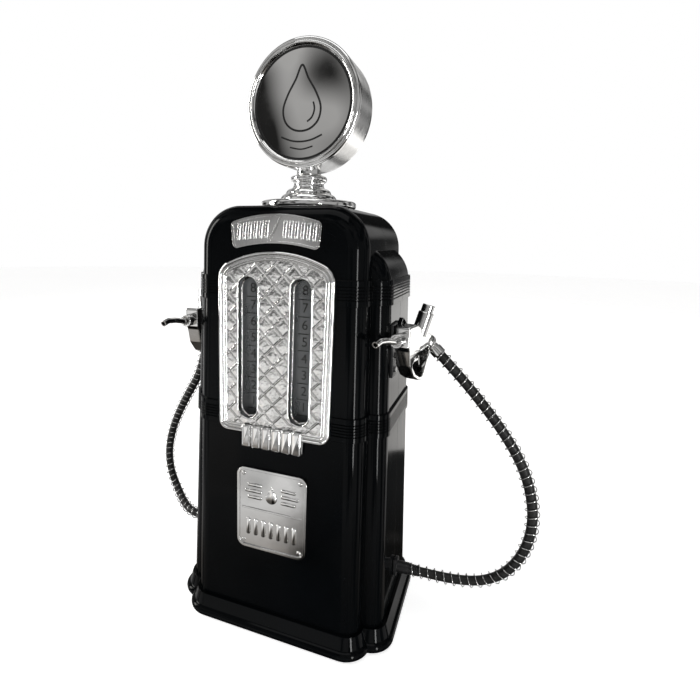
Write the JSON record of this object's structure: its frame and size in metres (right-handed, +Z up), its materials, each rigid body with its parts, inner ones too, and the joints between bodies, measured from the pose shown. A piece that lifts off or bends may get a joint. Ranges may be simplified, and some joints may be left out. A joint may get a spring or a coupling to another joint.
{
  "type": "countertop drink dispenser in the form of a fuel pump",
  "caption": "Upright countertop drink dispenser shaped like a vintage fuel pump, with a round globe lid and a hose and nozzle on each side.",
  "frame": {"origin": "centre of the footprint, on the surface that the rubber feet stand on", "axes": "+Z up, -Y to the front (the faceplate), +X to the right seen from the front"},
  "size_m": [0.3856, 0.1594, 0.48],
  "materials": {
    "black_shell": "piano-black gloss ABS moulding",
    "chrome_trim": "bright vacuum-plated plastic",
    "mirror_face": "mirror-plated disc with a printed black ring",
    "clear_tank": "clear smoky acrylic",
    "black_plastic": "satin black plastic",
    "rubber": "matt black rubber",
    "guard_wire": "bright coiled wire over the hose",
    "steel": "zinc-plated steel fastener",
    "clear_tube": "milky flexible tube"
  },
  "bodies": {
    "pump": {"base_screws": "steel", "base_tray": "black_plastic", "faceplate": "chrome_trim", "front_shell": "black_shell", "holster_left": "black_plastic", "holster_right": "black_plastic", "holster_screws": "steel", "hose_gland_left": "black_plastic", "hose_gland_right": "black_plastic", "hose_guard_left": "guard_wire", "hose_guard_right": "guard_wire", "hose_left": "rubber", "hose_right": "rubber", "inner_tube_left": "clear_tube", "inner_tube_right": "clear_tube", "lower_plate": "chrome_trim", "plate_rivets": "chrome_trim", "plinth": "black_shell", "rear_shell": "black_shell", "rubber_feet": "rubber", "shell_screws": "steel", "tank_cover_left": "clear_tank", "tank_cover_right": "clear_tank", "tank_left": "clear_tank", "tank_outlet_left": "black_plastic", "tank_outlet_right": "black_plastic", "tank_right": "clear_tank", "tank_stand": "black_plastic", "upper_badge": "chrome_trim"},
    "globe_lid": {"lid_flange": "chrome_trim", "lid_gasket": "rubber", "globe_stem": "chrome_trim", "globe_drum": "chrome_trim", "globe_bolt": "steel", "globe_bezel_front": "chrome_trim", "globe_bezel_back": "chrome_trim", "globe_face_front": "mirror_face", "globe_face_back": "mirror_face"},
    "nozzle_left": {"nozzle_body_left": "chrome_trim", "nozzle_hook_left": "chrome_trim", "spout_left": "chrome_trim", "spout_collar_left": "chrome_trim", "spout_nut_left": "chrome_trim", "valve_barrel_left": "chrome_trim", "swivel_elbow_left": "chrome_trim", "hose_ferrule_left": "chrome_trim", "trigger_pin_left": "steel", "valve_cap_left": "chrome_trim"},
    "trigger_left": {"trigger_left": "chrome_trim"},
    "nozzle_right": {"nozzle_body_right": "chrome_trim", "nozzle_hook_right": "chrome_trim", "spout_right": "chrome_trim", "spout_collar_right": "chrome_trim", "spout_nut_right": "chrome_trim", "valve_barrel_right": "chrome_trim", "swivel_elbow_right": "chrome_trim", "hose_ferrule_right": "chrome_trim", "trigger_pin_right": "steel", "valve_cap_right": "chrome_trim"},
    "trigger_right": {"trigger_right": "chrome_trim"}
  },
  "joints": [
    {"name": "lid_lift", "type": "slide", "parent": "pump", "child": "globe_lid", "axis": [0, 0, 1], "range_m": [0, 0.12]},
    {"name": "nozzle_lift_left", "type": "slide", "parent": "pump", "child": "nozzle_left", "axis": [0, 0, 1], "range_m": [0, 0.016], "deforming": ["hose_left", "hose_guard_left"]},
    {"name": "trigger_squeeze_left", "type": "hinge", "parent": "nozzle_left", "child": "trigger_left", "pos_m": [-0.09555, -0.00902, 0.2517], "axis": [0.9994, 0.0349, 0], "range_deg": [0, 9], "stiffness_Nm_per_rad": 0.02},
    {"name": "nozzle_lift_right", "type": "slide", "parent": "pump", "child": "nozzle_right", "axis": [0, 0, 1], "range_m": [0, 0.016], "deforming": ["hose_right", "hose_guard_right"]},
    {"name": "trigger_squeeze_right", "type": "hinge", "parent": "nozzle_right", "child": "trigger_right", "pos_m": [0.09764, -0.01012, 0.2504], "axis": [0.9659, -0.2588, 0], "range_deg": [0, 9], "stiffness_Nm_per_rad": 0.02}
  ]
}
